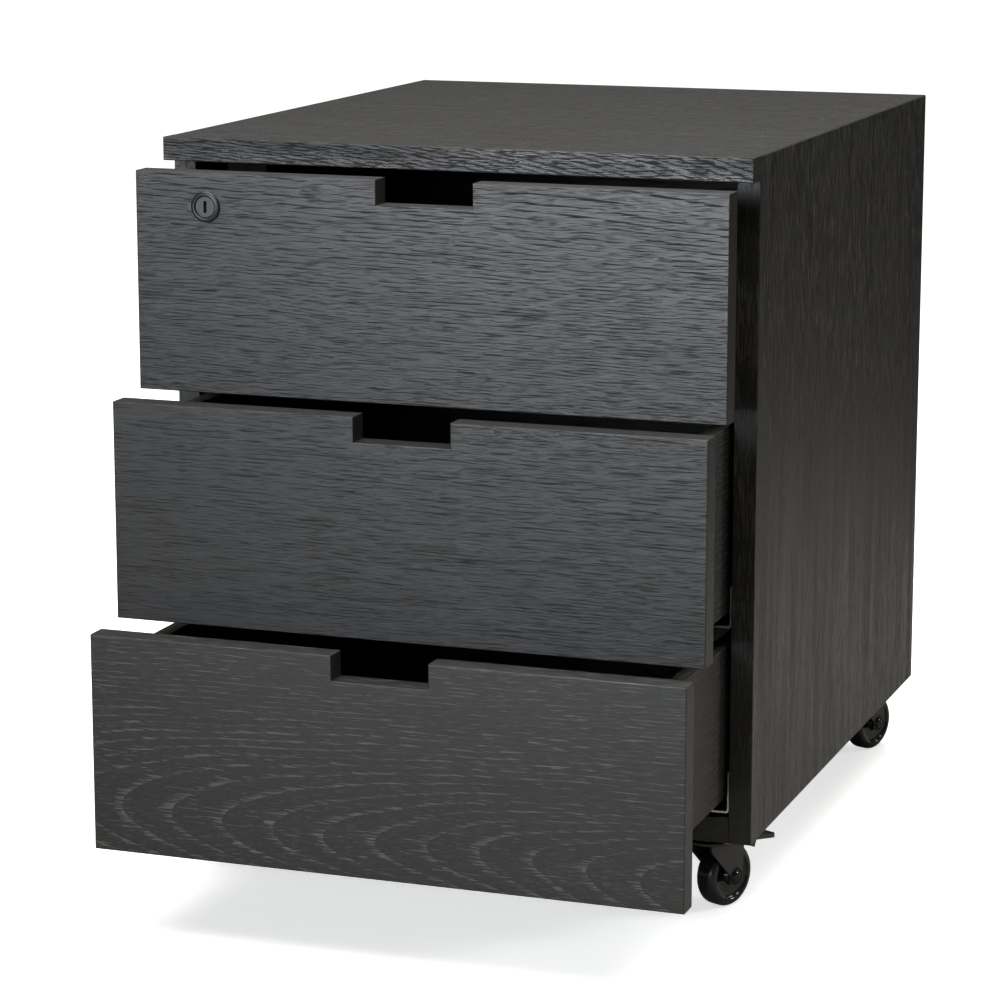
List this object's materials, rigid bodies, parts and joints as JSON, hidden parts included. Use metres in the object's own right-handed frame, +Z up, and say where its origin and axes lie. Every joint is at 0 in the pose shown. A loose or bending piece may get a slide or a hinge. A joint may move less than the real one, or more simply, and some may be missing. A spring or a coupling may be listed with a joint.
{
  "type": "rolling pedestal cabinet",
  "caption": "Black-stained wood under-desk pedestal with three notched drawers on full-extension runners, a cam lock and swivel casters, two of them braked.",
  "frame": {"origin": "on the floor, under the centre of the case", "axes": "+X to the right of someone facing the drawers, the drawers open towards -Y, +Z up"},
  "size_m": [0.47, 0.7163, 0.589],
  "materials": {
    "black_wood": "black stain over open grain, satin",
    "box_wood": "black stain, matt",
    "dowel_wood": "plain beech",
    "runner_steel": "zinc plated",
    "screw_steel": "zinc plated",
    "lock_metal": "black, glossy",
    "lock_steel": "nickel plated",
    "caster_steel": "black, satin",
    "axle_steel": "blackened",
    "wheel_plastic": "glossy black",
    "roller_plastic": "white nylon",
    "clip_plastic": "grey"
  },
  "bodies": {
    "case": {"top_panel": "black_wood", "left_side_panel": "black_wood", "right_side_panel": "black_wood", "bottom_panel": "black_wood", "back_panel": "black_wood", "carcass_dowels": "dowel_wood", "case_screws": "screw_steel", "runner_cabinet_members": "runner_steel", "lock_keeper": "lock_steel", "caster_balls": "screw_steel", "caster_plate_front_left": "caster_steel", "caster_plate_front_right": "caster_steel", "caster_plate_rear_left": "caster_steel", "caster_plate_rear_right": "caster_steel"},
    "drawer_top": {"drawer_front_top": "black_wood", "drawer_left_side_top": "box_wood", "drawer_right_side_top": "box_wood", "drawer_back_top": "box_wood", "drawer_bottom_top": "box_wood", "drawer_clips_top": "clip_plastic", "runner_drawer_members_top": "runner_steel", "lock_housing": "lock_metal", "lock_nut": "lock_steel"},
    "runner_middle_top": {"runner_middle_members_top": "runner_steel", "runner_rollers_top": "roller_plastic"},
    "drawer_middle": {"drawer_front_middle": "black_wood", "drawer_left_side_middle": "box_wood", "drawer_right_side_middle": "box_wood", "drawer_back_middle": "box_wood", "drawer_bottom_middle": "box_wood", "drawer_clips_middle": "clip_plastic", "runner_drawer_members_middle": "runner_steel"},
    "runner_middle_middle": {"runner_middle_members_middle": "runner_steel", "runner_rollers_middle": "roller_plastic"},
    "drawer_bottom": {"drawer_front_bottom": "black_wood", "drawer_left_side_bottom": "box_wood", "drawer_right_side_bottom": "box_wood", "drawer_back_bottom": "box_wood", "drawer_bottom_bottom": "box_wood", "drawer_clips_bottom": "clip_plastic", "runner_drawer_members_bottom": "runner_steel"},
    "runner_middle_bottom": {"runner_middle_members_bottom": "runner_steel", "runner_rollers_bottom": "roller_plastic"},
    "lock_plug": {"lock_core": "lock_metal", "lock_cam": "lock_steel", "lock_cam_screw": "screw_steel"},
    "caster_fork_front_left": {"caster_fork_front_left": "caster_steel", "caster_axle_front_left": "axle_steel"},
    "caster_wheel_front_left": {"caster_wheel_front_left": "wheel_plastic"},
    "caster_brake_front_left": {"caster_brake_pedal_front_left": "caster_steel"},
    "caster_fork_front_right": {"caster_fork_front_right": "caster_steel", "caster_axle_front_right": "axle_steel"},
    "caster_wheel_front_right": {"caster_wheel_front_right": "wheel_plastic"},
    "caster_brake_front_right": {"caster_brake_pedal_front_right": "caster_steel"},
    "caster_fork_rear_left": {"caster_fork_rear_left": "caster_steel", "caster_axle_rear_left": "axle_steel"},
    "caster_wheel_rear_left": {"caster_wheel_rear_left": "wheel_plastic"},
    "caster_fork_rear_right": {"caster_fork_rear_right": "caster_steel", "caster_axle_rear_right": "axle_steel"},
    "caster_wheel_rear_right": {"caster_wheel_rear_right": "wheel_plastic"}
  },
  "joints": [
    {"name": "drawer_top_slide", "type": "slide", "parent": "case", "child": "drawer_top", "axis": [0, -1, 0], "range_m": [-0.0535, 0.426]},
    {"name": "runner_top_slide", "type": "slide", "parent": "case", "child": "runner_middle_top", "axis": [0, -1, 0], "range_m": [-0.02675, 0.213]},
    {"name": "drawer_middle_slide", "type": "slide", "parent": "case", "child": "drawer_middle", "axis": [0, -1, 0], "range_m": [-0.1015, 0.378]},
    {"name": "runner_middle_slide", "type": "slide", "parent": "case", "child": "runner_middle_middle", "axis": [0, -1, 0], "range_m": [-0.05075, 0.189]},
    {"name": "drawer_bottom_slide", "type": "slide", "parent": "case", "child": "drawer_bottom", "axis": [0, -1, 0], "range_m": [-0.1485, 0.331]},
    {"name": "runner_bottom_slide", "type": "slide", "parent": "case", "child": "runner_middle_bottom", "axis": [0, -1, 0], "range_m": [-0.07425, 0.1655]},
    {"name": "lock_turn", "type": "hinge", "parent": "drawer_top", "child": "lock_plug", "pos_m": [-0.175, -0.334, 0.5435], "axis": [0, -1, 0], "range_deg": [0, 90]},
    {"name": "caster_front_left_swivel", "type": "hinge", "parent": "case", "child": "caster_fork_front_left", "pos_m": [-0.194, -0.226, 0.06], "axis": [0, 0, 1], "continuous": true},
    {"name": "caster_front_left_roll", "type": "hinge", "parent": "caster_fork_front_left", "child": "caster_wheel_front_left", "pos_m": [-0.18529, -0.21258, 0.025], "axis": [-0.8387, 0.5446, 0], "continuous": true},
    {"name": "caster_front_left_brake", "type": "hinge", "parent": "caster_fork_front_left", "child": "caster_brake_front_left", "pos_m": [-0.18311, -0.20923, 0.0532], "axis": [-0.8387, 0.5446, 0], "range_deg": [0, 8]},
    {"name": "caster_front_right_swivel", "type": "hinge", "parent": "case", "child": "caster_fork_front_right", "pos_m": [0.194, -0.226, 0.06], "axis": [0, 0, 1], "continuous": true},
    {"name": "caster_front_right_roll", "type": "hinge", "parent": "caster_fork_front_right", "child": "caster_wheel_front_right", "pos_m": [0.20051, -0.21138, 0.025], "axis": [-0.9135, 0.4067, 0], "continuous": true},
    {"name": "caster_front_right_brake", "type": "hinge", "parent": "caster_fork_front_right", "child": "caster_brake_front_right", "pos_m": [0.20214, -0.20773, 0.0532], "axis": [-0.9135, 0.4067, 0], "range_deg": [0, 8]},
    {"name": "caster_rear_left_swivel", "type": "hinge", "parent": "case", "child": "caster_fork_rear_left", "pos_m": [-0.194, 0.246, 0.06], "axis": [0, 0, 1], "continuous": true},
    {"name": "caster_rear_left_roll", "type": "hinge", "parent": "caster_fork_rear_left", "child": "caster_wheel_rear_left", "pos_m": [-0.19067, 0.26165, 0.025], "axis": [-0.9781, 0.2079, 0], "continuous": true},
    {"name": "caster_rear_right_swivel", "type": "hinge", "parent": "case", "child": "caster_fork_rear_right", "pos_m": [0.194, 0.246, 0.06], "axis": [0, 0, 1], "continuous": true},
    {"name": "caster_rear_right_roll", "type": "hinge", "parent": "caster_fork_rear_right", "child": "caster_wheel_rear_right", "pos_m": [0.19999, 0.26083, 0.025], "axis": [-0.9272, 0.3746, 0], "continuous": true}
  ],
  "couplings": [
    {"joint": "runner_top_slide", "follows": "drawer_top_slide", "ratio": 0.5},
    {"joint": "runner_middle_slide", "follows": "drawer_middle_slide", "ratio": 0.5},
    {"joint": "runner_bottom_slide", "follows": "drawer_bottom_slide", "ratio": 0.5}
  ]
}
